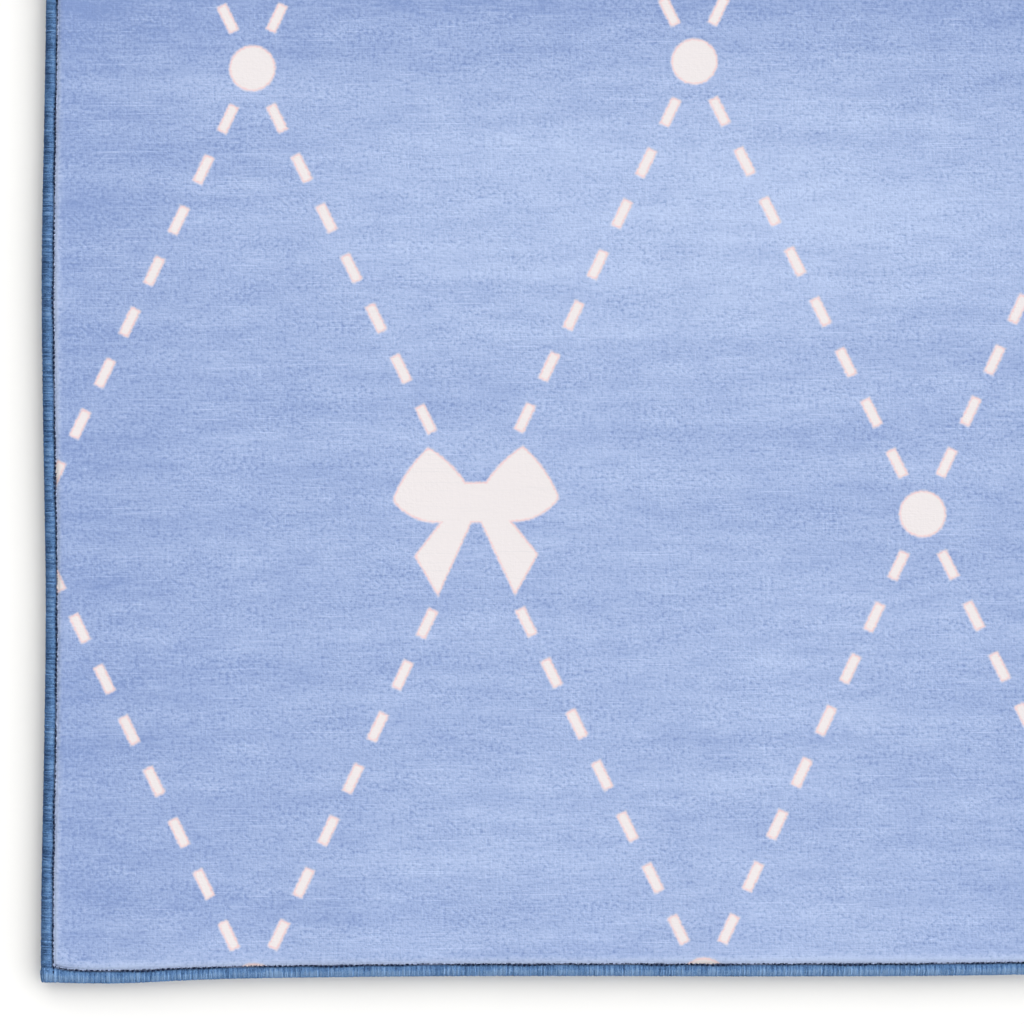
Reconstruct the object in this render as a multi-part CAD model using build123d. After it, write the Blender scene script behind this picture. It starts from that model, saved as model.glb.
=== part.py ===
"""A small printed accent rug: a napped, printed face on a laminated cloth stack, overlocked all round.

Millimetres. +X runs across the rug, +Y along it, +Z up. The origin is the middle of the underside, on the
floor. The rug folds in half across its length, with the printed face inside, so every layer is cut at the
fold into a near half (-Y) and a far half (+Y).
"""
from build123d import *
import os

# Driving sizes of the rug as it lies flat.
RUG_WIDTH = 610.0
RUG_LENGTH = 914.0
CORNER_RADIUS = 2.5

# The laminated stack, from the backing up.
BACKING_THICK = 0.8
LOWER_BOND_THICK = 0.15
FELT_THICK = 2.0
UPPER_BOND_THICK = 0.15
GROUND_THICK = 0.6
NAP_THICK = 1.4

# The overlocked edge: the yarn wraps the cut edge, and two straight threads lock it, above and below.
YARN_THICK = 0.9
SERGE_WIDTH = 5.7
THREAD_WIDTH = 1.0
NEEDLE_THREAD_HEIGHT = 0.7
LOOPER_THREAD_HEIGHT = 0.6

# The rubber grip dots lie in one field on the underside, clear of the overlocked edge. They stand as high
# as the yarn that passes under the backing, so that the rug rests flat on both.
GRIP_HEIGHT = YARN_THICK
GRIP_MARGIN = 6.0

# The blank care label is sewn flat to the underside, near the near left corner.
LABEL_WIDTH = 42.0
LABEL_LENGTH = 28.0
LABEL_THICK = 0.25
LABEL_EDGE_GAP = 14.0
LABEL_CLEARANCE = 2.0
STITCH_INSET = 2.0
STITCH_WIDTH = 0.5
STITCH_HEIGHT = 0.2

# The fold across the middle. The halves are parted by FOLD_GAP, and the hinge line lies above the nap
# by the inner radius of the bend.
FOLD_GAP = 0.4
BEND_INNER_RADIUS = 1.0

# Levels, each resting on the one below.
Z_BACKING = GRIP_HEIGHT
Z_LOWER_BOND = Z_BACKING + BACKING_THICK
Z_FELT = Z_LOWER_BOND + LOWER_BOND_THICK
Z_UPPER_BOND = Z_FELT + FELT_THICK
Z_GROUND = Z_UPPER_BOND + UPPER_BOND_THICK
Z_NAP = Z_GROUND + GROUND_THICK
Z_TOP = Z_NAP + NAP_THICK
Z_HINGE = Z_TOP + BEND_INNER_RADIUS

# Insets from the rug's outline.
SEAM_INSET = SERGE_WIDTH + THREAD_WIDTH
GRIP_INSET = SEAM_INSET + GRIP_MARGIN


def slab(inset, low, high):
    """A sheet set in from the rug's outline, from level low to level high. Its corners stay concentric."""
    width, length = RUG_WIDTH - 2 * inset, RUG_LENGTH - 2 * inset
    radius = CORNER_RADIUS - inset
    outline = RectangleRounded(width, length, radius) if radius > 0 else Rectangle(width, length)
    return Pos(0, 0, low) * extrude(outline, high - low)


def ring(outer_inset, inner_inset, low, high):
    """A flat band that runs round the rug between two insets."""
    return slab(outer_inset, low, high) - slab(inner_inset, low - 1, high + 1)


def block(x_from, x_to, y_from, y_to):
    """A tall box over one region of the rug, for cutting pieces to that region."""
    size = (x_to - x_from, y_to - y_from, 4 * Z_TOP)
    return Pos((x_from + x_to) / 2, (y_from + y_to) / 2, 0) * Box(*size)


HALF_WIDTH = RUG_WIDTH / 2
HALF_LENGTH = RUG_LENGTH / 2
FAR_BEYOND = RUG_LENGTH


def halves(shape, name):
    """One layer cut at the fold: {node name: solid} for its near and far half."""
    near = block(-FAR_BEYOND, FAR_BEYOND, -FAR_BEYOND, -FOLD_GAP / 2)
    far = block(-FAR_BEYOND, FAR_BEYOND, FOLD_GAP / 2, FAR_BEYOND)
    return {f"{name}_near": shape & near, f"{name}_far": shape & far}


def runs(shape, name, end_depth):
    """One edge piece cut into its sewn runs: the two ends own the corners, and each side has two halves.

    end_depth is how far the end runs reach in from the rug's outline.
    """
    y_end = HALF_LENGTH - end_depth
    across = (-FAR_BEYOND, FAR_BEYOND)
    near = (-y_end, -FOLD_GAP / 2)
    far = (FOLD_GAP / 2, y_end)
    regions = {
        "near_end": block(*across, -FAR_BEYOND, -y_end),
        "far_end": block(*across, y_end, FAR_BEYOND),
        "left_near": block(-FAR_BEYOND, 0, *near),
        "left_far": block(-FAR_BEYOND, 0, *far),
        "right_near": block(0, FAR_BEYOND, *near),
        "right_far": block(0, FAR_BEYOND, *far),
    }
    return {f"{name}_{run}": shape & region for run, region in regions.items()}


def label_box(grow, low, high):
    """The care label's rectangle, grown on all sides, from level low to level high."""
    x = -HALF_WIDTH + SEAM_INSET + LABEL_EDGE_GAP + LABEL_WIDTH / 2
    y = -HALF_LENGTH + SEAM_INSET + LABEL_EDGE_GAP + LABEL_LENGTH / 2
    size = (LABEL_WIDTH + 2 * grow, LABEL_LENGTH + 2 * grow, high - low)
    return Pos(x, y, (low + high) / 2) * Box(*size)


def cloth_stack():
    """The glued layers under the nap. All are cut together, and end inside the edge yarn."""
    layers = {
        "backing_cloth": (Z_BACKING, Z_LOWER_BOND),
        "lower_bond_film": (Z_LOWER_BOND, Z_FELT),
        "felt_interlining": (Z_FELT, Z_UPPER_BOND),
        "upper_bond_film": (Z_UPPER_BOND, Z_GROUND),
        "ground_cloth": (Z_GROUND, Z_NAP),
    }
    made = {}
    for name, (low, high) in layers.items():
        made |= halves(slab(YARN_THICK, low, high), name)
    return made


def printed_nap():
    """The brushed nap that carries the print. The overlocking holds it down, so it ends at the seam."""
    return halves(slab(SEAM_INSET, Z_NAP, Z_TOP), "printed_nap")


def grip_dots():
    """The field that the rubber dots fill, at their height, with room left round the care label."""
    field = slab(GRIP_INSET, 0, GRIP_HEIGHT) - label_box(LABEL_CLEARANCE, -1, GRIP_HEIGHT + 1)
    return halves(field, "grip_dots")


def edge_yarn():
    """The overlocking yarn: a U-shaped wrap over the top, round the cut edge and under the backing."""
    wrap = slab(0, 0, Z_NAP + YARN_THICK) - slab(YARN_THICK, Z_BACKING, Z_NAP)
    window = slab(SERGE_WIDTH, -1, Z_BACKING) + slab(SERGE_WIDTH, Z_NAP, Z_TOP + 1)
    return runs(wrap - window, "edge_yarn", SERGE_WIDTH)


def seam_threads():
    """The needle thread on the face and the looper thread below, along the yarn's inner side."""
    needle = ring(SERGE_WIDTH, SEAM_INSET, Z_NAP, Z_NAP + NEEDLE_THREAD_HEIGHT)
    looper = ring(SERGE_WIDTH, SEAM_INSET, Z_BACKING - LOOPER_THREAD_HEIGHT, Z_BACKING)
    return runs(needle, "needle_thread", SEAM_INSET) | runs(looper, "looper_thread", SEAM_INSET)


def care_label():
    """A blank satin label against the backing, and the thread that holds it on all four sides."""
    z_label = Z_BACKING - LABEL_THICK
    z_stitch = z_label - STITCH_HEIGHT
    thread = label_box(-STITCH_INSET, z_stitch, z_label) - label_box(
        -STITCH_INSET - STITCH_WIDTH, z_stitch - 1, z_label + 1
    )
    return {"care_label": label_box(0, z_label, Z_BACKING), "label_stitching": thread}


def rug():
    """Every piece of the rug as {node name: shape}."""
    return printed_nap() | cloth_stack() | grip_dots() | edge_yarn() | seam_threads() | care_label()


os.makedirs("parts", exist_ok=True)
for old in os.listdir("parts"):
    os.remove(os.path.join("parts", old))
for node, shape in rug().items():
    export_step(shape, f"parts/{node}.step")
    print(f"{node}: {len(shape.solids())} solid, {shape.volume / 1000:.2f} cm3")
print(f"hinge line at y 0, z {Z_HINGE:.2f}")
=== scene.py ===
"""A printed accent rug, put together from its backing up to its brushed face, then overlocked all round.

Metres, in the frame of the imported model: +X across the rug, +Y along it, +Z up, the floor at Z 0.
"""
import math

import bpy
import numpy as np
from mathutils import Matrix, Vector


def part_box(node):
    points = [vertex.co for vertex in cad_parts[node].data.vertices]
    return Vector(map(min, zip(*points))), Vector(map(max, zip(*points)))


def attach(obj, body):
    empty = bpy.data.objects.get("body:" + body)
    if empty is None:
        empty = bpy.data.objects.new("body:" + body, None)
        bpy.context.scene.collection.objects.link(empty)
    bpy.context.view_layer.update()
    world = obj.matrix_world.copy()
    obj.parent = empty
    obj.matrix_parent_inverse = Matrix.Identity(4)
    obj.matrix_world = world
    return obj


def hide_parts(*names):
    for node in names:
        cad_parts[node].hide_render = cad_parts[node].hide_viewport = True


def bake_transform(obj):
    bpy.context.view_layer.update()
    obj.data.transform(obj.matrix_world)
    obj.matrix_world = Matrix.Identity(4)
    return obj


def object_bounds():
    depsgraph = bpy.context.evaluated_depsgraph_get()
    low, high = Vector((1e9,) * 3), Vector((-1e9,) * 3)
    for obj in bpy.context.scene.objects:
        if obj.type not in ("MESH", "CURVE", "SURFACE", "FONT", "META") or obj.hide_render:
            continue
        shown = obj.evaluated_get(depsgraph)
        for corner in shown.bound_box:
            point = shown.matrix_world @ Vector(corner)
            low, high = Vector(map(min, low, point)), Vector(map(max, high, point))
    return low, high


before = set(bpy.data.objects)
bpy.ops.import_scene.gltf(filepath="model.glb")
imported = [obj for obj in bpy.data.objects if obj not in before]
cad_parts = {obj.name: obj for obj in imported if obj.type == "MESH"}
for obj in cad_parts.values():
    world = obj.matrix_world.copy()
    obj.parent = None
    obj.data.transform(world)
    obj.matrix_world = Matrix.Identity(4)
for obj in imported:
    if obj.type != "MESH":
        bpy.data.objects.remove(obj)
model_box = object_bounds()
MM = 0.001


# Backing cloth. A coarse undyed canvas under the whole rug, glued to the felt above it. It carries the rubber
# dots and the care label, and its cut edge ends inside the overlocking yarn. The rug folds in half across its
# length, so the canvas and every other layer is one cloth, with close rows over the fold.
HALF_WIDTH = model_box[1][0]
HALF_LENGTH = model_box[1][1]
EDGE_WANDER = 1.0 * MM
WANDER_FADE = 35 * MM
CORNER_BOW = 1.3 * MM
CORNER_BOW_PLACE = 34 * MM
CORNER_BOW_WIDTH = 30 * MM
SIDE_WAVE = 310 * MM
SIDE_WAVE_START = 290 * MM
END_WAVE = 450 * MM
END_WAVE_START = 130 * MM
RIPPLE_LIFT = 0.35 * MM
RIPPLE_ACROSS = 170 * MM
RIPPLE_ALONG = 210 * MM
FOLD_REACH = 13 * MM
FOLD_STEP = 0.8 * MM
RIM_STATIONS = (0.4, 0.9, 1.6, 2.6, 4.0)
EDGE_SQUEEZE = 0.3
SQUEEZE_FADE = 1.5 * MM
STACK_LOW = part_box("backing_cloth_near")[0][2]
STACK_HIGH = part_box("ground_cloth_near")[1][2]
STACK_EDGE = HALF_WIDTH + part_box("backing_cloth_near")[0][0]
LAYER_STEP = 12 * MM
CANVAS_PITCH = 1.3
CANVAS_PALE = (0.60, 0.55, 0.46, 1)
CANVAS_SHADE = (0.33, 0.29, 0.23, 1)


def as_it_lies(points):
    """Where points of the flat rug really lie. Its edges were not cut quite straight: each wanders in and
    out along a slow cosine that dies away from that edge, and an end bows out a little near its corners. The
    cloth also lifts a little off the floor in low rolls, more so near its edges."""
    x, y, z = points[..., 0], points[..., 1], points[..., 2]
    from_side = np.exp(-(HALF_WIDTH - abs(x)) / WANDER_FADE)
    from_end = np.exp(-(HALF_LENGTH - abs(y)) / WANDER_FADE)
    side_phase = 2 * np.pi * (y + SIDE_WAVE_START) / SIDE_WAVE + 1.3 * (x > 0)
    end_phase = 2 * np.pi * (x + END_WAVE_START) / END_WAVE + 2.1 * (y > 0)
    bow = CORNER_BOW * np.exp(-(((HALF_WIDTH - abs(x) - CORNER_BOW_PLACE) / CORNER_BOW_WIDTH) ** 2))
    roll = np.sin(2 * np.pi * x / RIPPLE_ACROSS + 1) * np.sin(2 * np.pi * y / RIPPLE_ALONG + 2)
    lift = RIPPLE_LIFT * (0.25 + 0.75 * np.maximum(from_side, from_end)) * roll**2
    moved = points.copy()
    moved[..., 0] = x + EDGE_WANDER * from_side * np.cos(side_phase)
    moved[..., 1] = y + from_end * (0.7 * EDGE_WANDER * np.cos(end_phase) + np.sign(y) * bow)
    moved[..., 2] = z + lift
    return moved


def piece_from(name, points, quads, flat):
    """A mesh object from an array of points and an array of four-cornered faces, smoothly shaded. The UV map
    "flat" keeps where each point lies on the flat cloth, in metres, so a pattern bends with the cloth."""
    mesh = bpy.data.meshes.new(name)
    mesh.vertices.add(len(points))
    mesh.vertices.foreach_set("co", points.astype(np.float32).ravel())
    mesh.loops.add(quads.size)
    mesh.loops.foreach_set("vertex_index", quads.astype(np.int32).ravel())
    mesh.polygons.add(len(quads))
    mesh.polygons.foreach_set("loop_start", np.arange(0, quads.size, 4, dtype=np.int32))
    mesh.update(calc_edges=True)
    mesh.shade_smooth()
    places = mesh.uv_layers.new(name="flat")
    places.uv.foreach_set("vector", flat[quads.ravel()].astype(np.float32).ravel())
    piece = bpy.data.objects.new(name, mesh)
    bpy.context.collection.objects.link(piece)
    return piece


def stations(low, high, step):
    """Places from low to high: one at each end, a few close to the ends (RIM_STATIONS millimetres in), one
    every FOLD_STEP over the fold, and about one every step between."""
    near_end = low + np.array([0, *RIM_STATIONS]) * MM
    far_end = high - np.array([0, *RIM_STATIONS]) * MM
    fold = np.arange(-FOLD_REACH, FOLD_REACH + FOLD_STEP / 8, FOLD_STEP) if low < 0 < high else np.array([])
    wide = np.linspace(low, high, round((high - low) / step) + 1)
    clear = (wide > near_end.max() + step / 3) & (wide < far_end.min() - step / 3)
    wide = wide[clear & (abs(wide) > FOLD_REACH + step / 3)] if len(fold) else wide[clear]
    return np.unique(np.round(np.concatenate([near_end, fold, wide, far_end]), 6))


def closed_sheet(x, y, under, over):
    """The points and faces of a closed sheet of cloth over the columns x and rows y. Its lower and upper
    skins lie at heights under and over, each a number or one per grid point, and walls round its rim join
    them."""
    across, along = np.meshgrid(x, y, indexing="ij")
    skins = [np.stack([across, along, across * 0 + height], -1) for height in (under, over)]
    points = np.concatenate([skin.reshape(-1, 3) for skin in skins])
    index = np.arange(across.size).reshape(across.shape)
    top = np.stack([index[:-1, :-1], index[1:, :-1], index[1:, 1:], index[:-1, 1:]], -1).reshape(-1, 4)
    rim = np.concatenate([index[:-1, 0], index[-1, :-1], index[:0:-1, -1], index[0, :0:-1]])
    after = np.roll(rim, -1)
    walls = np.stack([rim, after, after + across.size, rim + across.size], -1)
    return as_it_lies(points), np.concatenate([top[:, ::-1], top + across.size, walls])


def cloth_piece(name, points, quads):
    """A piece of cloth whose pattern is printed or woven by place on the flat rug."""
    return piece_from(name, points, quads, points[:, :2])


def bends(piece):
    """Bakes the piece's placement into its mesh, where it lies flat across the fold."""
    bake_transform(piece)


class Spread:
    """A number that differs from place to place on a surface: a node's output, with arithmetic as nodes."""

    def __init__(self, socket):
        self.socket = socket
        self.tree = socket.node.id_data

    def math(self, operation, *others):
        node = self.tree.nodes.new("ShaderNodeMath")
        node.operation = operation
        for entry, value in zip(node.inputs, (self, *others)):
            feed(self.tree, entry, value)
        return Spread(node.outputs[0])

    def __add__(self, other):
        return self.math("ADD", other)

    def __sub__(self, other):
        return self.math("SUBTRACT", other)

    def __mul__(self, other):
        return self.math("MULTIPLY", other)

    def __abs__(self):
        return self.math("ABSOLUTE")

    def least(self, other):
        return self.math("MINIMUM", other)

    def most(self, other, rounding=0.0):
        return self.math("SMOOTH_MAX", other, rounding) if rounding else self.math("MAXIMUM", other)

    def kept_in(self, low, high):
        return self.most(low).least(high)

    def wrapped(self, half_span):
        return self.math("WRAP", half_span, -half_span)

    def step(self, low, high):
        """0 below low and 1 above high, smooth between. It falls instead where low is above high."""
        node = self.tree.nodes.new("ShaderNodeMapRange")
        node.interpolation_type = "SMOOTHSTEP"
        for entry, value in zip(node.inputs, (self, low, high)):
            feed(self.tree, entry, value)
        return Spread(node.outputs[0])


def feed(tree, entry, value):
    """Gives a node's input a number or colour, or a link from a Spread."""
    if isinstance(value, Spread):
        tree.links.new(value.socket, entry)
    else:
        entry.default_value = value


def noise(x, y, width, height, seed, detail=2.0, roughness=0.5):
    """Smooth noise about 0, from roughly -1 to 1, in patches width by height large."""
    place = x.tree.nodes.new("ShaderNodeCombineXYZ")
    for entry, value in zip(place.inputs, (x * (1 / width), y * (1 / height), float(seed))):
        feed(x.tree, entry, value)
    node = x.tree.nodes.new("ShaderNodeTexNoise")
    node.inputs["Scale"].default_value = 1.0
    node.inputs["Detail"].default_value = detail
    node.inputs["Roughness"].default_value = roughness
    x.tree.links.new(place.outputs[0], node.inputs["Vector"])
    return (Spread(node.outputs["Fac"]) - 0.5) * 2.0


def mixed(amount, first, second):
    """The colour first where amount is 0 and second where it is 1. Each is a colour or another mix."""
    node = amount.tree.nodes.new("ShaderNodeMix")
    node.data_type = "RGBA"
    for entry, value in zip((node.inputs[0], node.inputs[6], node.inputs[7]), (amount, first, second)):
        feed(amount.tree, entry, value)
    return Spread(node.outputs[2])


def finish_named(name, roughness, sheen=0.0, coat=0.0, gloss=0.03):
    """A new material with its shader: the material, its shader, and x and y on the flat cloth in mm."""
    material = bpy.data.materials.new(name)
    material.use_nodes = True
    tree = material.node_tree
    shader = tree.nodes["Principled BSDF"]
    shader.inputs["Roughness"].default_value = roughness
    shader.inputs["Specular IOR Level"].default_value = gloss
    shader.inputs["Sheen Weight"].default_value = sheen
    shader.inputs["Sheen Roughness"].default_value = 0.6
    shader.inputs["Coat Weight"].default_value = coat
    places = tree.nodes.new("ShaderNodeUVMap")
    places.uv_map = "flat"
    parted = tree.nodes.new("ShaderNodeSeparateXYZ")
    tree.links.new(places.outputs[0], parted.inputs[0])
    x, y = Spread(parted.outputs[0]) * 1000.0, Spread(parted.outputs[1]) * 1000.0
    return material, shader, x, y


def paint(shader, colour, height, depth):
    """Colours the surface, and raises its relief where height is 1 by depth over where height is 0."""
    tree = shader.id_data
    feed(tree, shader.inputs["Base Color"], colour)
    bump = tree.nodes.new("ShaderNodeBump")
    bump.inputs["Distance"].default_value = depth
    bump.inputs["Strength"].default_value = 1.0
    feed(tree, bump.inputs["Height"], height)
    tree.links.new(bump.outputs[0], shader.inputs["Normal"])


def plain_weave(x, y, pitch):
    """The height of a plain weave, 0 to 1: warp shows in every other square and weft in the rest. A thread is
    round across, and dips at both ends of its square."""
    turn = math.pi / pitch
    warp = abs((x * turn).math("SINE")) * abs((y * turn).math("SINE")).math("SQRT")
    weft = abs((y * turn).math("SINE")) * abs((x * turn).math("SINE")).math("SQRT")
    checker = (x * turn).math("SINE") * (y * turn).math("SINE")
    warp_up = checker.step(-0.08, 0.08)
    return warp * warp_up + weft * (warp_up * -1.0 + 1.0)


def canvas_finish():
    """Undyed canvas: a plain weave whose threads vary in thickness and shade."""
    material, shader, x, y = finish_named("natural canvas", roughness=0.9, sheen=0.15)
    weave = plain_weave(x, y, CANVAS_PITCH)
    warp_shade = noise(x, y, 1.4, 60.0, seed=3)
    weft_shade = noise(x, y, 60.0, 1.4, seed=4)
    pale = weave * 0.65 + (warp_shade + weft_shade) * 0.35 + 0.25
    paint(shader, mixed(pale.kept_in(0.0, 1.0), CANVAS_SHADE, CANVAS_PALE), weave, 0.35 * MM)
    return material


def squeezed(inset, height):
    """Heights within the glued stack. The overlocking squeezes them towards the stack's middle height by a
    share that is greatest at the stack's edge and dies away inwards."""
    middle = (STACK_LOW + STACK_HIGH) / 2
    return middle + (height - middle) * (1 - EDGE_SQUEEZE * np.exp(-(inset - STACK_EDGE) / SQUEEZE_FADE))


def laid_in(name, material):
    """One glued layer of the rug, at its packed halves' size and height, as a single flat cloth."""
    nodes = (f"{name}_near", f"{name}_far")
    low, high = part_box(nodes[0])[0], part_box(nodes[1])[1]
    x, y = stations(low[0], high[0], LAYER_STEP), stations(low[1], high[1], LAYER_STEP)
    inset = np.minimum.outer(HALF_WIDTH - abs(x), HALF_LENGTH - abs(y))
    layer = cloth_piece(name, *closed_sheet(x, y, squeezed(inset, low[2]), squeezed(inset, high[2])))
    layer.data.materials.append(material)
    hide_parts(*nodes)
    bends(layer)


laid_in("backing_cloth", canvas_finish())


# Lower bond film, felt interlining and upper bond film. The needled grey felt gives the rug its softness, and
# a hot-melt film on each side glues it to the canvas below and to the ground cloth above.
FILM_SHADE = (0.70, 0.70, 0.66, 1)
FILM_PALE = (0.82, 0.82, 0.79, 1)
FELT_DARK = (0.30, 0.31, 0.32, 1)
FELT_PALE = (0.66, 0.67, 0.68, 1)


def film_finish():
    """Milky hot-melt film, pressed into a faint pebble."""
    material, shader, x, y = finish_named("hot melt film", roughness=0.45)
    pebble = noise(x, y, 1.5, 1.5, seed=8)
    cloudy = (pebble * 0.5 + 0.5).kept_in(0.0, 1.0)
    paint(shader, mixed(cloudy, FILM_SHADE, FILM_PALE), cloudy, 0.03 * MM)
    return material


def felt_finish():
    """Grey needled felt of mixed fibres: dark and pale hairs in every direction."""
    material, shader, x, y = finish_named("needled felt", roughness=0.95, sheen=0.2)
    hairs = noise(x, y, 6.0, 0.35, seed=11) + noise(x, y, 0.35, 6.0, seed=12)
    tufts = noise(x, y, 4.0, 4.0, seed=13)
    pale = (hairs * 0.5 + tufts * 0.3 + 0.5).kept_in(0.0, 1.0)
    paint(shader, mixed(pale, FELT_DARK, FELT_PALE), pale, 0.15 * MM)
    return material


film = film_finish()
laid_in("lower_bond_film", film)
laid_in("felt_interlining", felt_finish())
laid_in("upper_bond_film", film)


# Ground cloth. The thin polyester cloth that the face's pile stands in, in a fine plain weave. Some of the
# print's blue has struck through to it. It shows only between the stitches of the seam.
GROUND_PITCH = 0.6
GROUND_SHADE = (0.12, 0.17, 0.32, 1)
GROUND_PALE = (0.30, 0.38, 0.58, 1)


def ground_finish():
    """Polyester cloth in a fine plain weave, tinged blue."""
    material, shader, x, y = finish_named("blue tinged ground cloth", roughness=0.8, sheen=0.1)
    weave = plain_weave(x, y, GROUND_PITCH)
    paint(shader, mixed(weave.kept_in(0.0, 1.0), GROUND_SHADE, GROUND_PALE), weave, 0.1 * MM)
    return material


laid_in("ground_cloth", ground_finish())


# Printed nap. A short brushed polyester pile, printed after weaving with a heathered blue ground and a white
# pattern: dashed lines cross in tall diamonds, with a bow at one crossing in four and a dot at the rest.
NAP_STEP = 5 * MM
PILE_ROLL = 1.1 * MM
PILE_ROLL_WIDTH = 2.2 * MM
TUFT_PITCH = 0.62 * MM
TUFT_ROOT = 0.35 * MM
TUFT_REACH = 0.65 * MM
TUFT_THICK = 0.6 * MM
CORNER_TURN = 1.7 * MM
CORNER_TURN_LENGTH = 5 * MM
SEAM_INSET = (HALF_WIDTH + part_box("printed_nap_near")[0][0]) / MM
DIAMOND_LEFT = -310.3
DIAMOND_NEAR = -460.3
DIAMOND_HALF_WIDTH = 103.83
DIAMOND_HALF_LENGTH = 213.97
PRINT_RISE = 0.0060
PRINT_DRIFT = 0.0014
DIAMOND_SIDE = math.hypot(DIAMOND_HALF_WIDTH, DIAMOND_HALF_LENGTH)
DASHES_A_SIDE = 9
DASH_LENGTH = 13.8
DASH_WIDTH = 4.82
DOT_RADIUS = 10.8
BOW_CLEARING = 39.0
BOW_DROP = 0.6
BOW_KNOT_TOP = 18.4
BOW_KNOT_FOOT = -0.5
BOW_KNOT_HALF_WIDTH = 17.5
BLUE_DEEP = (0.206, 0.290, 0.540, 1)
BLUE_PALE = (0.460, 0.557, 0.786, 1)
PRINT_WHITE = (0.770, 0.724, 0.728, 1)
PRINT_WHITE_SHADE = (0.714, 0.684, 0.694, 1)
PRINT_FRINGE = (0.810, 0.535, 0.535, 1)


def along_dashes(off_line, on_line):
    """How far a place lies outside the dashes of one family of lines, in mm. off_line and on_line run from
    -1 to 1 about a crossing: the first is 0 on the line, and the second changes by 2 from one crossing to
    the next. A diamond isn't square, so on_line is first corrected to the foot of the perpendicular."""
    wide, tall = DIAMOND_HALF_WIDTH, DIAMOND_HALF_LENGTH
    lean = (tall**2 - wide**2) / (tall**2 + wide**2)
    across = off_line * (wide * tall / DIAMOND_SIDE)
    steps = (on_line - off_line * lean) * (DASHES_A_SIDE / 2)
    along = steps.wrapped(0.5) * (DIAMOND_SIDE / DASHES_A_SIDE)
    return (abs(across) - DASH_WIDTH / 2).most(abs(along) - DASH_LENGTH / 2, rounding=1.4)


def beyond_line(x, y, start, end):
    """How far (x, y) lies to the left of the line from start to end."""
    run, rise = end[0] - start[0], end[1] - start[1]
    length = math.hypot(run, rise)
    return x * (-rise / length) + y * (run / length) + (start[0] * rise - start[1] * run) / length


def beyond_arc(x, y, start, end, radius):
    """How far (x, y) lies outside the circle of that radius that runs clockwise from start to end."""
    run, rise = end[0] - start[0], end[1] - start[1]
    length = math.hypot(run, rise)
    sink = math.sqrt(radius**2 - length**2 / 4) / length
    centre = ((start[0] + end[0]) / 2 + rise * sink, (start[1] + end[1]) / 2 - run * sink)
    return distance(x - centre[0], y - centre[1]) - radius


def distance(x, y):
    """The length of (x, y)."""
    return (x * x + y * y).math("SQRT")


def outside_bow(x, y):
    """How far (x, y) lies outside a bow whose knot is above (0, 0), in mm. The bow is the same on both sides.
    A loop is what three arcs enclose, a tail is what three straight cuts leave, and the knot is a block."""
    side = abs(x)
    top = beyond_arc(side, y, (4.7, 18.2), (22.0, 35.0), 55.0)
    back = beyond_arc(side, y, (22.0, 35.0), (38.9, 10.5), 62.0)
    foot = beyond_arc(side, y, (38.9, 10.5), (17.5, -0.3), 26.0)
    loop = top.most(back, rounding=1.0).most(foot, rounding=2.5)
    inner = beyond_line(side, y, (17.9, -34.5), (2.1, -0.5))
    outer = beyond_line(side, y, (16.9, -0.5), (28.8, -15.6))
    end = beyond_line(side, y, (28.8, -15.6), (17.9, -34.5))
    tail = inner.most(outer).most(end, rounding=1.5).most(y - BOW_KNOT_TOP / 2)
    knot = (y - BOW_KNOT_TOP).most(y * -1.0 + BOW_KNOT_FOOT).most(side - BOW_KNOT_HALF_WIDTH)
    return loop.least(tail).least(knot)


def outside_print(x, y):
    """How far (x, y) lies outside the white print, in mm. The print sits a little askew on the cloth. The
    lines of one family climb to the right and those of the other to the left: each is straight where rising
    or falling below is an odd number."""
    right, up = x - DIAMOND_LEFT, y - DIAMOND_NEAR
    column = (right - up * PRINT_DRIFT) * (1 / DIAMOND_HALF_WIDTH)
    row = (up - right * PRINT_RISE) * (1 / DIAMOND_HALF_LENGTH)
    rising, falling = column + row, column - row
    p, q = (rising - 1.0).wrapped(1.0), (falling - 1.0).wrapped(1.0)
    dot = distance((p + q) * (DIAMOND_HALF_WIDTH / 2), (p - q) * (DIAMOND_HALF_LENGTH / 2)) - DOT_RADIUS
    lines = along_dashes(p, q).least(along_dashes(q, p))
    p, q = (rising - 3.0).wrapped(2.0), (falling - 1.0).wrapped(2.0)
    bow_x, bow_y = (p + q) * (DIAMOND_HALF_WIDTH / 2), (p - q) * (DIAMOND_HALF_LENGTH / 2)
    clearing = distance(bow_x, bow_y) * -1.0 + BOW_CLEARING
    return dot.least(lines).most(clearing).least(outside_bow(bow_x, bow_y + BOW_DROP))


def paler_places(x, y):
    """How much paler than its middle shade the blue is made, from about -0.4 to 0.4. It is darker along both
    sides, a painted shade of light that falls off towards them, and darker across the fold, with a pale belt
    on either side of the fold. Beside the seam and at the corners it is paler, a painted highlight where the
    pile rolls down and catches the light."""
    from_side = abs(x) * -1.0 + HALF_WIDTH * 1000
    from_end = abs(y) * -1.0 + HALF_LENGTH * 1000
    from_fold = abs(y)
    # Painted shade: darker towards both sides, as if the light fell off there.
    sides = from_side.step(260.0, 0.0) * -0.17 + from_side.step(60.0, 10.0) * -0.07
    fold = from_fold.step(36.0, 0.0) * -0.26
    belt = abs(from_fold - 105.0).step(80.0, 10.0) * from_side.step(0.0, 260.0) * 0.24
    ragged = noise(x, y, 3.5, 2.5, seed=29) * 1.6
    # Painted highlight: paler beside the seam all round and at the corners, where the rolled pile catches the
    # light.
    end_seam_highlight = (from_end + ragged).step(SEAM_INSET + 4.6, SEAM_INSET) * 0.62
    side_seam_highlight = (from_side + ragged).step(SEAM_INSET + 3.5, SEAM_INSET) * 0.66
    corner = (from_side + from_end + ragged * 2.0).step(34.0, 14.0) * 0.45
    return sides + fold + belt + end_seam_highlight.most(side_seam_highlight).most(corner)


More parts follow.
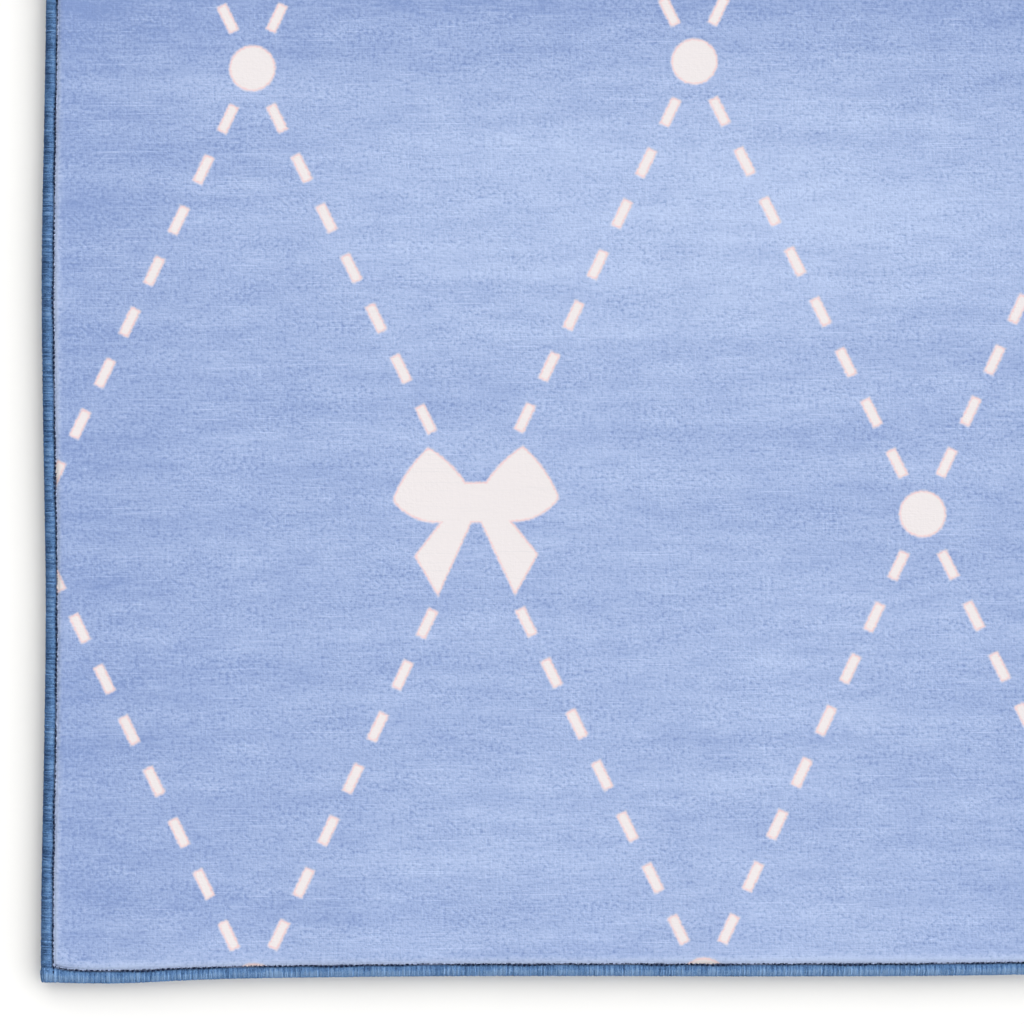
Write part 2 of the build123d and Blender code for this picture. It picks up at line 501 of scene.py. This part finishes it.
def nap_finish():
    """Brushed nap. The blue ground is heathered: slow bands, soft blotches, dark and pale specks that
    gather in bands, and single long pale fibres, all drawn out across the rug. The white bleeds a little at
    its edges."""
    material, shader, x, y = finish_named("printed brushed nap", roughness=0.92, sheen=0.05)
    bands = noise(x, y, 160.0, 18.0, seed=21, detail=3.0, roughness=0.6)
    blotches = noise(x, y, 22.0, 7.0, seed=26, detail=4.0, roughness=0.65)
    specks = noise(x, y, 1.7, 1.5, seed=22, detail=2.0, roughness=0.6)
    gathered = noise(x, y, 40.0, 10.0, seed=23, detail=2.0).step(-0.35, 0.45)
    hatch = noise(x, y, 8.0, 0.8, seed=24, detail=2.0)
    warp = noise(x, y, 0.9, 9.0, seed=30, detail=1.0)
    fibres = noise(x, y, 48.0, 0.5, seed=25, detail=1.0).step(0.28, 0.5)
    pale = bands * 0.35 + blotches * 0.34 + hatch * 0.26 + warp * 0.14 + fibres * 0.42 + 0.53
    # paler_places adds painted shade along the sides and a painted highlight beside the seam.
    pale = pale + specks * (gathered * 0.38 + 0.32) - specks.step(-0.08, -0.4) * 0.20 + paler_places(x, y)
    blue = mixed(pale.kept_in(0.0, 1.0), BLUE_DEEP, BLUE_PALE)
    ragged_x = x + noise(x, y, 1.6, 1.3, seed=27) * 0.7
    ragged_y = y + noise(x, y, 1.6, 1.3, seed=28) * 0.7
    outside = outside_print(ragged_x, ragged_y)
    printed = outside.step(0.9, -0.6)
    streaks = (fibres * 0.9 + hatch * 0.25 + warp * 0.1).kept_in(0.0, 1.0)
    white = mixed(streaks, PRINT_WHITE, PRINT_WHITE_SHADE)
    fringe = abs(outside + 0.35).step(0.9, 0.0) * (hatch * 0.7 + 0.65).kept_in(0.0, 1.0)
    relief = (hatch * 0.25 + warp * 0.15 + specks * 0.45 + 0.5).kept_in(0.0, 1.0)
    matted = relief * (printed * -0.6 + 1.0)
    paint(shader, mixed(printed, blue, mixed(fringe, white, PRINT_FRINGE)), matted, 0.12 * MM)
    return material


def turned_in(from_side):
    """How far the end seams turn in towards the rug's middle, that far from a side: CORNER_TURN at the side,
    dying away."""
    return CORNER_TURN * np.exp(-np.maximum(from_side, 0) / CORNER_TURN_LENGTH)


def copied_quads(quads, corners, copies):
    """The quads of that many copies of one small shape, which has that many corners, in one array."""
    return (quads + corners * np.arange(copies)[:, None, None]).reshape(-1, 4)


def outer_tufts(half_width, half_length, level):
    """The pile's outermost tufts, which lean out over the seam all round: points and quads. Each is a wedge
    with four corners at its foot in the pile and four near its tip, and no two reach equally far."""
    side, rise = np.array([-1, 1, 1, -1]) / 2, np.array([-1, -1, 1, 1]) / 2
    foot = np.stack([side * 0, side, rise], -1)
    tip = np.stack([side * 0 + 1, side * 0.35, rise * 0.35 - 0.15], -1)
    ring = np.arange(4)
    after = np.roll(ring, -1)
    flanks = np.stack([ring, after, after + 4, ring + 4], -1)
    faces = np.concatenate([flanks, [[3, 2, 1, 0], [4, 5, 6, 7]]])
    across = np.arange(-half_width, half_width, TUFT_PITCH)
    along = np.arange(CORNER_TURN - half_length, half_length - CORNER_TURN, TUFT_PITCH)
    end_line = half_length - turned_in(half_width - abs(across))
    ends = [np.stack([across, end_line * way], -1) for way in (-1, 1)]
    sides = [np.stack([along * 0 + half_width * way, along], -1) for way in (-1, 1)]
    base = np.concatenate(ends + sides)
    counts = [len(across), len(across), len(along), len(along)]
    outward = np.repeat([[0, -1], [0, 1], [-1, 0], [1, 0]], counts, axis=0)
    sideways = np.stack([-outward[:, 1], outward[:, 0]], -1)
    draw = np.random.default_rng(33)
    fullest = np.array([TUFT_REACH * 1.4, TUFT_PITCH * 2, TUFT_THICK])
    size = fullest * draw.uniform([0.3, 0.5, 0.8], 1, (len(base), 3))
    out, wide, up = np.moveaxis(np.concatenate([foot, tip]) * size[:, None], -1, 0)[..., None]
    plan = base[:, None] + (out - TUFT_ROOT) * outward[:, None] + wide * sideways[:, None]
    points = np.concatenate([plan, level + up], -1).reshape(-1, 3)
    return points, copied_quads(faces, len(foot) + len(tip), len(base))


def printed_nap():
    """The pile as one sheet, with its outermost tufts. Its skin rolls down to the seam over the last
    millimetres."""
    low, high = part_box("printed_nap_near")[0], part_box("printed_nap_far")[1]
    x, y = stations(low[0], high[0], NAP_STEP), stations(low[1], high[1], NAP_STEP)
    across, along = np.meshgrid(x, y, indexing="ij")
    inset = np.minimum(high[0] - abs(across), high[1] - abs(along))
    roll = np.clip(1 - inset / PILE_ROLL_WIDTH, 0, 1)
    pile, pile_quads = closed_sheet(x, y, low[2], high[2] - PILE_ROLL * (1 - np.sqrt(1 - roll**2)))
    near_end = np.exp(-(high[1] - abs(pile[:, 1])) / CORNER_TURN_LENGTH)
    pile[:, 1] -= np.sign(pile[:, 1]) * turned_in(high[0] - abs(pile[:, 0])) * near_end
    tufts, tuft_quads = outer_tufts(high[0], high[1], high[2] - 0.75 * PILE_ROLL)
    quads = np.concatenate([pile_quads, tuft_quads + len(pile)])
    nap = cloth_piece("printed_nap", np.concatenate([pile, as_it_lies(tufts)]), quads)
    nap.data.materials.append(nap_finish())
    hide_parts("printed_nap_near", "printed_nap_far")
    bends(nap)


printed_nap()


# Grip dots. Small domes of soft milky rubber, printed on the canvas in staggered rows. They hold the rug on
# the floor, and the rows leave out the care label.
DOT_PITCH = 12 * MM
DOT_FOOT_RADIUS = 1.6 * MM
DOT_SIDES = 8
DOT_RING_DEGREES = (0, 38, 72)
LABEL_CLEARING = 1 * MM
RUBBER_CLEAN = (0.62, 0.61, 0.57, 1)
RUBBER_DUSTY = (0.78, 0.78, 0.74, 1)


def rubber_finish():
    """Soft milky rubber with a dull skin and faint dust."""
    material, shader, x, y = finish_named("milky grip rubber", roughness=0.5, coat=0.05, gloss=0.3)
    dust = (noise(x, y, 3.0, 3.0, seed=31) * 0.5 + 0.5).kept_in(0.0, 1.0)
    paint(shader, mixed(dust, RUBBER_CLEAN, RUBBER_DUSTY), dust, 0.02 * MM)
    return material


def dome():
    """One dome about the origin, hanging down from height 0: points and quads. Its rings shrink as a quarter
    ellipse does, and three quads close each end."""
    turn = np.arange(DOT_SIDES) * 2 * np.pi / DOT_SIDES
    rise = np.radians(DOT_RING_DEGREES)[:, None]
    rings = np.stack([np.cos(turn) * np.cos(rise), np.sin(turn) * np.cos(rise), turn * 0 - np.sin(rise)], -1)
    ring = np.arange(DOT_SIDES)
    after = np.roll(ring, -1)
    band = np.stack([ring, ring + DOT_SIDES, after + DOT_SIDES, after], -1)
    end = np.array([[0, 1, 2, 3], [0, 3, 4, 7], [4, 5, 6, 7]])
    quads = np.concatenate([band, band + DOT_SIDES, end, end[:, ::-1] + 2 * DOT_SIDES])
    return rings.reshape(-1, 3), quads


def grip_dots(half):
    """The domes of one half of the rug, in rows half a pitch apart, every other row shifted half a pitch."""
    low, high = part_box(f"grip_dots_{half}")
    label_low, label_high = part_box("care_label")
    rows = np.arange(low[1] + DOT_FOOT_RADIUS, high[1] - DOT_FOOT_RADIUS, DOT_PITCH / 2)
    last_column = high[0] - DOT_FOOT_RADIUS - DOT_PITCH / 2
    columns = np.arange(low[0] + DOT_FOOT_RADIUS, last_column, DOT_PITCH)
    columns += (last_column - columns[-1]) / 2
    shift = (np.arange(len(rows)) % 2) * DOT_PITCH / 2
    x = (columns[None] + shift[:, None]).ravel()
    y = np.repeat(rows, len(columns))
    gap = DOT_FOOT_RADIUS + LABEL_CLEARING
    on_label = (x > label_low[0] - gap) & (x < label_high[0] + gap)
    on_label &= (y > label_low[1] - gap) & (y < label_high[1] + gap)
    x, y = x[~on_label], y[~on_label]
    vary = np.random.default_rng(5).uniform(0.9, 1.05, len(x))
    scales = np.stack([DOT_FOOT_RADIUS * vary, DOT_FOOT_RADIUS * vary, x * 0 + high[2] - low[2]], -1)
    centres = np.stack([x, y, x * 0 + high[2]], -1)
    shape, quads = dome()
    points = (shape * scales[:, None] + centres[:, None]).reshape(-1, 3)
    quads = copied_quads(quads, len(shape), len(centres))
    dots = piece_from(f"grip_dots_{half}", as_it_lies(points), quads, points[:, :2])
    dots.data.materials.append(rubber)
    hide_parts(f"grip_dots_{half}")
    bends(dots)


rubber = rubber_finish()
grip_dots("near")
grip_dots("far")


# Edge yarn. A bulky textured denim-blue yarn, sewn over the cut edge by the overlocker. Each turn runs from
# the seam over the edge and back under the rug, three turns to a stitch. The sides were sewn first. The ends'
# runs then crossed over them at the corners, where a short length of each also wraps the side.
YARN_REACH = HALF_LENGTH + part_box("edge_yarn_left_near")[0][1]
YARN_CORNER = 1.4 * MM
CORNER_BULGE = 0.4 * MM
STITCH_PITCH = 2.35 * MM
TURNS_A_STITCH = 3
TURN_PITCH = STITCH_PITCH / TURNS_A_STITCH
TURN_STEPS = 4
TURN_HEIGHT = 0.26 * MM
TURN_SLOW_WAVE = 7.3 * MM
TURN_QUICK_WAVE = 2.3 * MM
TURN_LEAN = 0.35
SEAM_PULL = 0.6 * MM
SEAM_PULL_SHARE = 0.4
SECTION_DEGREES = (90, 72, 55, 40, 25, 8, -10, -32, -60, -90)
HELD_FULLNESS = 0.65
SLACK_TURNS = 0.14
SLACK_FULLNESS = 0.25
YARN_SQUARENESS = 2.3
YARN_DARK = (0.030, 0.064, 0.152, 1)
YARN_MID = (0.095, 0.200, 0.397, 1)
YARN_PALE = (0.202, 0.327, 0.532, 1)


def yarn_finish(name, painted_outer_shade, painted_crown_highlight):
    """Textured polyester yarn: fine crimped fibres along each turn, a shade that changes from turn to turn,
    and painted shade on the held turn, which its stitch pulls down into a groove. Towards the rug's outline
    it gains the given outer darkening, a painted shade where the wrap turns away from the light, and along
    the middle of the wrap's face it gains the given crown lightening, a painted highlight where the light
    falls fullest. On the yarn, x counts turns by their pitch, the first of a stitch's turns is the held one,
    and y runs round the section from the seam."""
    material, shader, x, y = finish_named(name, roughness=0.8)
    pitch = TURN_PITCH / MM
    from_held = abs((x - pitch / 2).wrapped(pitch * TURNS_A_STITCH / 2)) * (1 / pitch)
    turns = noise(x, y, 0.7, 5.0, seed=41, detail=1.0)
    patches = noise(x, y, 7.0, 8.0, seed=42)
    fibres = noise(x, y, 0.35, 0.8, seed=43)
    # The held turn of each stitch, sunk by its stitch, gets painted shade.
    pale = turns * 0.60 + patches * 0.50 + fibres * 0.70 + from_held.step(0.1, 0.9) * 0.16 + 0.36
    # Painted light: darker towards the outline, where the wrap turns from the light, and paler along the
    # middle of its face.
    pale = pale + y.step(1.5, 6.5) * painted_outer_shade + abs(y - 3.8).step(2.6, 0.6) * painted_crown_highlight
    lower = mixed((pale * 2.0).kept_in(0.0, 1.0), YARN_DARK, YARN_MID)
    colour = mixed((pale * 2.0 - 1.0).kept_in(0.0, 1.0), lower, YARN_PALE)
    paint(shader, colour, pale.kept_in(0.0, 1.0), 0.12 * MM)
    return material


def turn_stations(length):
    """How many grid stations a run of that length has, with TURN_STEPS to each turn of yarn."""
    return round(length / TURN_PITCH) * TURN_STEPS + 1


def walk_side(turned):
    """A walk up the left side, or with turned -1 down the right side, which is the same walk after half a
    turn of the rug: base points on the outline, the inward direction and the wrap's reach at each."""
    end = HALF_LENGTH - YARN_REACH
    run = np.linspace(-end, end, turn_stations(2 * end))
    base = np.stack([run * 0 - HALF_WIDTH, run], -1)
    inward = np.stack([run * 0 + 1, run * 0], -1)
    return base * turned, inward * turned, run * 0 + YARN_REACH


def walk_end(turned):
    """A walk from the left side round the far end to the right side, or with turned -1 from the right side
    round the near end to the left: base points on the outline, the inward direction and the wrap's reach at
    each. The short lengths on the sides bulge a little and reach in no further than the corner's radius."""
    stub = np.linspace(HALF_LENGTH - YARN_REACH, HALF_LENGTH - YARN_CORNER, 5 * TURN_STEPS)
    bulge = CORNER_BULGE * (1 - np.linspace(0, 1, len(stub)) ** 2)
    quarter = np.linspace(0, np.pi / 2, 2 * TURN_STEPS)[1:]
    arc_in = np.stack([np.cos(quarter), -np.sin(quarter)], -1)
    centre = np.array([YARN_CORNER - HALF_WIDTH, HALF_LENGTH - YARN_CORNER])
    across = np.linspace(centre[0], -centre[0], turn_stations(-2 * centre[0]))
    corner = np.concatenate([np.stack([-HALF_WIDTH - bulge, stub], -1), centre - YARN_CORNER * arc_in])
    corner_in = np.concatenate([np.stack([stub * 0 + 1, stub * 0], -1), arc_in])
    straight = np.stack([across, across * 0 + HALF_LENGTH], -1)
    straight_in = np.stack([across * 0, across * 0 - 1], -1)
    mirrored = np.array([-1, 1])
    base = np.concatenate([corner, straight, corner[::-1] * mirrored])
    inward = np.concatenate([corner_in, straight_in, corner_in[::-1] * mirrored])
    at_corner = np.full(len(corner), YARN_CORNER)
    to_seam = YARN_REACH + turned_in(HALF_WIDTH - YARN_REACH - abs(across))
    reach = np.concatenate([at_corner, to_seam, at_corner])
    return base * turned, inward * turned, reach


def yarn_section():
    """The wrap's section, a U, from its inner end on the face to its inner end below: how far in and how
    high each point of the outer skin lies, the way out of the skin there, and how far in and how high each
    point of the inner skin lies, which is the outline of the cloth stack. The outer skin is half a squarish
    ellipse, pulled down at the seam by SEAM_PULL over the last SEAM_PULL_SHARE of the reach."""
    floor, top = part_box("edge_yarn_near_end")[0][2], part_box("edge_yarn_near_end")[1][2]
    angle = np.radians(SECTION_DEGREES)
    power = 2 / YARN_SQUARENESS
    lateral = np.clip(np.cos(angle), 0, 1)
    inset = YARN_REACH * (1 - lateral**power)
    pulled = SEAM_PULL * np.clip(inset / YARN_REACH - (1 - SEAM_PULL_SHARE), 0, 1) / SEAM_PULL_SHARE
    upright = np.sign(angle) * abs(np.sin(angle)) ** power
    height = (floor + top) / 2 + (top - floor) / 2 * upright - pulled * (angle > 0)
    outer = np.stack([inset, height], -1)
    way_out = np.stack([-(lateral ** (2 - power)), np.sign(angle) * abs(np.sin(angle)) ** (2 - power)], -1)
    way_out /= np.linalg.norm(way_out, axis=1, keepdims=True)
    along = np.linspace(3, 0, len(angle))
    inner_inset = np.interp(along, [0, 1, 2, 3], [YARN_REACH, STACK_EDGE, STACK_EDGE, YARN_REACH])
    inner_height = np.interp(along, [0, 1, 2, 3], [STACK_HIGH, STACK_HIGH, STACK_LOW, STACK_LOW])
    return angle, outer, way_out, np.stack([inner_inset, squeezed(inner_inset, inner_height)], -1)


def wrapped_edge(name, walk, nodes, material, seed):
    """The yarn along one walk. The section's outer skin rises and falls in round turns that lean a little. No
    two are equally full: the first of each stitch's turns is held down, and a few others are slack."""
    base, inward, reach = walk
    angle, outer, way_out, inner = yarn_section()
    walked = np.concatenate([[0], np.cumsum(np.linalg.norm(np.diff(base, axis=0), axis=1))])
    slow, quick = walked / TURN_SLOW_WAVE + seed, walked / TURN_QUICK_WAVE + 2 * seed
    wobble = 0.30 * np.sin(slow) + 0.25 * np.sin(quick)
    phase = (walked / TURN_PITCH + wobble)[:, None] + TURN_LEAN * (angle / (np.pi / 2))
    turn = np.floor(phase).astype(int)
    draw = np.random.default_rng(seed)
    fullness = draw.uniform(0.55, 1.0, turn.max() + 3)
    fullness *= np.where(draw.random(len(fullness)) < SLACK_TURNS, SLACK_FULLNESS, 1.0)
    fullness = fullness[turn + 1] * np.where(turn % TURNS_A_STITCH == 0, HELD_FULLNESS, 1.0)
    sink = TURN_HEIGHT * (1 - fullness * np.sqrt(1 - 0.96 * (2 * (phase - turn) - 1) ** 2))
    skin = outer - sink[..., None] * way_out
    section = np.concatenate([skin, np.broadcast_to(inner, skin.shape)], 1)
    widened = section[..., :1] * np.maximum(reach / YARN_REACH, 1)[:, None, None]
    inset = np.minimum(widened, reach[:, None, None])
    points = np.concatenate([base[:, None] + inset * inward[:, None], section[..., 1:]], -1)
    rows, around = points.shape[:2]
    index = np.arange(rows * around).reshape(rows, around)
    after = np.roll(index, -1, axis=1)
    tube = np.stack([index[:-1], index[1:], after[1:], after[:-1]], -1).reshape(-1, 4)
    k = np.arange(len(angle) - 1)
    cap = np.stack([k, k + 1, around - 2 - k, around - 1 - k], -1)
    quads = np.concatenate([tube, cap, cap[:, ::-1] + (rows - 1) * around])
    girth = np.concatenate([[0], np.cumsum(np.linalg.norm(np.diff(outer, axis=0), axis=1))])
    counted = np.concatenate([phase, phase[:, ::-1]], 1) * TURN_PITCH
    flat = np.stack(np.broadcast_arrays(counted, np.concatenate([girth, girth[::-1]])), -1)
    yarn = piece_from(name, as_it_lies(points.reshape(-1, 3)), quads, flat.reshape(-1, 2))
    yarn.data.materials.append(material)
    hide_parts(*nodes)
    return yarn


# Lit and shaded copies of one yarn: the sides get painted shade on their outer part, the ends a painted
# highlight along the face and a lighter painted shade outside.
side_yarn_painted_shade = yarn_finish("denim blue side yarn with painted shade", painted_outer_shade=-0.34, painted_crown_highlight=0.0)
end_yarn_painted_highlight = yarn_finish("denim blue end yarn with painted shade and highlight", painted_outer_shade=-0.16, painted_crown_highlight=0.40)
for side, turned, seed in (("left", 1, 51), ("right", -1, 52)):
    nodes = (f"edge_yarn_{side}_near", f"edge_yarn_{side}_far")
    bends(wrapped_edge(f"edge_yarn_{side}", walk_side(turned), nodes, side_yarn_painted_shade, seed))
for half, turned, seed in (("near", -1, 53), ("far", 1, 54)):
    name = f"edge_yarn_{half}_end"
    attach(wrapped_edge(name, walk_end(turned), (name,), end_yarn_painted_highlight, seed), f"{half}_half")


# Needle thread and looper thread. A navy spun thread locks the yarn on the face in a row of short straight
# stitches, and a textured blue thread does the same under the rug.
NEEDLE_STITCH = 1.65 * MM
LOOPER_STITCH = 2.6 * MM
STITCH_SIDES = 6
SEAM_WANDER = 0.28 * MM
SEAM_SLOW_WAVE = 13 * MM
SEAM_QUICK_WAVE = 4.7 * MM
SEAM_OVERRUN = 2.0 * MM
NAVY_DARK = (0.010, 0.017, 0.042, 1)
NAVY_PALE = (0.024, 0.042, 0.105, 1)
LOOPER_DARK = (0.030, 0.070, 0.160, 1)
LOOPER_PALE = (0.095, 0.185, 0.340, 1)


def thread_finish(name, dark, pale):
    """Spun thread: dull, with plies that turn round it. On a stitch, x and y are its own place in mm."""
    material, shader, x, y = finish_named(name, roughness=0.8, sheen=0.04)
    plies = ((x + y) * (2 * math.pi / 0.5)).math("SINE") * 0.5 + 0.5
    shade = (plies * 0.6 + noise(x, y, 2.0, 2.0, seed=61) * 0.5 + 0.2).kept_in(0.0, 1.0)
    paint(shader, mixed(shade, dark, pale), plies, 0.05 * MM)
    return material


def stitch():
    """One stitch about the origin, lying along x with unit half length, width and height: points and quads.
    Its rings follow a sausage, full along the middle and drawn in at both ends."""
    turn = np.arange(STITCH_SIDES) * 2 * np.pi / STITCH_SIDES
    along = np.array([-1, -0.72, 0, 0.72, 1])
    girth = np.array([0.35, 0.9, 1, 0.9, 0.35])
    across, up = girth[:, None] * np.cos(turn), girth[:, None] * np.sin(turn)
    rings = np.stack([across * 0 + along[:, None], across, up], -1)
    index = np.arange(across.size).reshape(across.shape)
    after = np.roll(index, -1, axis=1)
    bands = np.stack([index[:-1], after[:-1], after[1:], index[1:]], -1).reshape(-1, 4)
    end = np.array([[0, 3, 2, 1], [0, 5, 4, 3]])
    return rings.reshape(-1, 3), np.concatenate([bands, end, end[:, ::-1] + index[-1, 0]])


def sewn_row(name, places, heading, half_sizes, lean, seed):
    """A row of stitches centred on places, each along its heading in the rug's plane, with half_sizes along,
    across and up. Each is turned by lean, more or less, and no two are quite alike."""
    shape, quads = stitch()
    draw = np.random.default_rng(seed)
    size = np.array(half_sizes) * draw.uniform(0.8, 1.08, (len(places), 3))
    size[:, 2] = half_sizes[2]
    turn = heading + lean + draw.normal(0, 0.08, len(places))
    x, y, z = np.moveaxis(shape * size[:, None], -1, 0)
    c, s = np.cos(turn)[:, None], np.sin(turn)[:, None]
    points = (np.stack([x * c - y * s, x * s + y * c, z], -1) + places[:, None]).reshape(-1, 3)
    quads = copied_quads(quads, len(shape), len(places))
    return piece_from(name, as_it_lies(points), quads, points[:, :2])


def seam_line(half_run, line, overrun, seed):
    """Stitch places along one run, as how far along and how far out each lies. The line wanders a little. A
    run that doesn't overrun its corners turns in towards them instead."""
    along = np.arange(-half_run - overrun + STITCH_PITCH / 2, half_run + overrun, STITCH_PITCH)
    slow, quick = along / SEAM_SLOW_WAVE + seed, along / SEAM_QUICK_WAVE + 3 * seed
    drift = SEAM_WANDER * (np.sin(slow) + np.sin(quick))
    return along, line + drift - (0 if overrun else turned_in(half_run - abs(along)))


def thread_round(kind, material, stitch_length, lean):
    """One kind of thread on all four edges, as its packed runs lie: a row of stitches on each."""
    low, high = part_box(f"{kind}_near_end")[0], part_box(f"{kind}_far_end")[1]
    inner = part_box(f"{kind}_left_near")
    half_width = (inner[1][0] - inner[0][0]) / 2
    half_sizes = (stitch_length / 2, half_width, (high[2] - low[2]) / 2)
    x_line, y_line = high[0] - half_width, high[1] - half_width
    runs = {"left": (-1, np.pi / 2), "right": (1, -np.pi / 2), "near_end": (-1, 0.0), "far_end": (1, np.pi)}
    for seed, (run, (way, heading)) in enumerate(runs.items()):
        if run in ("left", "right"):
            along, out = seam_line(y_line, x_line, SEAM_OVERRUN, seed)
            plan = np.stack([way * out, along], -1)
        else:
            along, out = seam_line(x_line, y_line, 0, seed)
            plan = np.stack([along, way * out], -1)
        places = np.insert(plan, 2, (low[2] + high[2]) / 2, axis=1)
        row = sewn_row(f"{kind}_{run}", places, heading, half_sizes, lean, seed=71 + seed)
        row.data.materials.append(material)
        if run in ("left", "right"):
            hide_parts(f"{kind}_{run}_near", f"{kind}_{run}_far")
            bends(row)
        else:
            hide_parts(f"{kind}_{run}")
            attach(row, run.replace("end", "half"))


navy = thread_finish("navy needle thread", NAVY_DARK, NAVY_PALE)
blue = thread_finish("blue looper thread", LOOPER_DARK, LOOPER_PALE)
thread_round("needle_thread", navy, NEEDLE_STITCH, lean=0.04)
thread_round("looper_thread", blue, LOOPER_STITCH, lean=0.30)


# Care label. A blank white satin label, sewn flat to the canvas on all four sides with a white thread.
SATIN_RIB = 0.35
LABEL_STITCH = 1.9 * MM
LABEL_STITCH_PITCH = 2.6 * MM
LABEL_THREAD_HALF_WIDTH = 0.22 * MM
LABEL_THREAD_SINK = 0.05 * MM
LABEL_GRID = 0.7 * MM
PUCKER = 0.05 * MM
PUCKER_ACROSS = 2.1 * MM
PUCKER_ALONG = 1.7 * MM
SATIN_SHADE = (0.72, 0.72, 0.72, 1)
SATIN_PALE = (0.88, 0.88, 0.87, 1)
WHITE_THREAD_SHADE = (0.55, 0.55, 0.53, 1)
WHITE_THREAD_PALE = (0.85, 0.85, 0.83, 1)


def satin_finish():
    """Woven satin: smooth, with fine ribs across and a soft shine."""
    material, shader, x, y = finish_named("white woven satin", roughness=0.35, sheen=0.1)
    ribs = (y * (2 * math.pi / SATIN_RIB)).math("SINE") * 0.5 + 0.5
    shade = (ribs * 0.5 + noise(x, y, 9.0, 0.4, seed=81) * 0.4 + 0.3).kept_in(0.0, 1.0)
    paint(shader, mixed(shade, SATIN_SHADE, SATIN_PALE), ribs, 0.03 * MM)
    return material


def care_label():
    """The label as one sheet that puckers a little between its stitches."""
    low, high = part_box("care_label")
    x = np.append(np.arange(low[0], high[0], LABEL_GRID), high[0])
    y = np.append(np.arange(low[1], high[1], LABEL_GRID), high[1])
    across, along = np.meshgrid(x, y, indexing="ij")
    pucker = PUCKER * (1 + np.sin(across / PUCKER_ACROSS) * np.sin(along / PUCKER_ALONG))
    label = cloth_piece("care_label", *closed_sheet(x, y, low[2] + pucker, high[2]))
    label.data.materials.append(satin_finish())
    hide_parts("care_label")
    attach(label, "near_half")


def label_stitching():
    """Short white stitches on all four sides of the label."""
    low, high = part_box("label_stitching")
    height = (low[2] + high[2]) / 2
    x = np.arange(low[0] + LABEL_STITCH_PITCH / 2, high[0], LABEL_STITCH_PITCH)
    y = np.arange(low[1] + LABEL_STITCH_PITCH / 2, high[1], LABEL_STITCH_PITCH)
    level = [np.stack([x, x * 0 + line, x * 0 + height], -1) for line in (low[1], high[1])]
    upright = [np.stack([y * 0 + line, y, y * 0 + height], -1) for line in (low[0], high[0])]
    places = np.concatenate([*level, *upright])
    heading = np.repeat([0.0, np.pi / 2], [2 * len(x), 2 * len(y)])
    half_height = (high[2] - low[2]) / 2 + LABEL_THREAD_SINK
    half_sizes = (LABEL_STITCH / 2, LABEL_THREAD_HALF_WIDTH, half_height)
    row = sewn_row("label_stitching", places, heading, half_sizes, lean=0.0, seed=83)
    white = thread_finish("white label thread", WHITE_THREAD_SHADE, WHITE_THREAD_PALE)
    row.data.materials.append(white)
    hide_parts("label_stitching")
    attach(row, "near_half")


care_label()
label_stitching()


# The studio. A white floor in a white room, lit softly from low down all round, and most from the right.
FLOOR_HALF = 4.0
FLOOR_WHITE = (0.975, 0.970, 0.955, 1)
PLAIN_WHITE = 1.1
ROOM_LIGHT = 0.193
LOW_GLOW = 29.5
GLOW_LEAN = (0.95, 0.75)
EYE_PLACE = (-0.0832, -0.2601, 0.6678)
EYE_TURN_DEGREES = (1.62, 0.22, -0.47)


def white_floor():
    """A matt white floor at Z 0."""
    corners = np.array([[-1, -1, 0], [1, -1, 0], [1, 1, 0], [-1, 1, 0]]) * FLOOR_HALF
    floor = piece_from("studio_floor", corners.astype(float), np.array([[0, 1, 2, 3]]), corners[:, :2])
    material, shader, _, _ = finish_named("studio white", roughness=0.9)
    shader.inputs["Base Color"].default_value = FLOOR_WHITE
    floor.data.materials.append(material)


def lit():
    """The room's light. Towards a direction (x, y, z) it is ROOM_LIGHT, raised by LOW_GLOW times the square
    of 1 - z, and that share grows with x and y by GLOW_LEAN. Looked at directly, the room is plain white."""
    room = bpy.data.worlds.new("studio room")
    room.use_nodes = True
    tree = room.node_tree
    towards = tree.nodes.new("ShaderNodeTexCoord")
    parted = tree.nodes.new("ShaderNodeSeparateXYZ")
    tree.links.new(towards.outputs["Generated"], parted.inputs[0])
    x, y, z = (Spread(output) for output in parted.outputs)
    low = z.most(0.0) * -1.0 + 1.0
    lean = (x * GLOW_LEAN[0] + y * GLOW_LEAN[1] + 1.0).most(0.0)
    background = tree.nodes["Background"]
    background.inputs["Color"].default_value = (1, 1, 1, 1)
    looked_at = Spread(tree.nodes.new("ShaderNodeLightPath").outputs["Is Camera Ray"])
    glow = (low * low * lean * LOW_GLOW + 1.0) * ROOM_LIGHT
    feed(tree, background.inputs["Strength"], glow + looked_at * (glow * -1.0 + PLAIN_WHITE))
    bpy.context.scene.world = room


def eye():
    """The camera, straight above the near left corner of the rug, with a 50 mm lens on a 36 mm sensor."""
    camera = bpy.data.cameras.new("eye")
    camera.lens = 50
    camera.sensor_width = 36
    camera.clip_start = 0.01
    holder = bpy.data.objects.new("eye", camera)
    holder.location = EYE_PLACE
    holder.rotation_euler = [math.radians(turn) for turn in EYE_TURN_DEGREES]
    bpy.context.collection.objects.link(holder)
    bpy.context.scene.camera = holder


white_floor()
lit()
eye()
bpy.context.scene.view_settings.view_transform = "Standard"
bpy.context.scene.view_settings.look = "None"
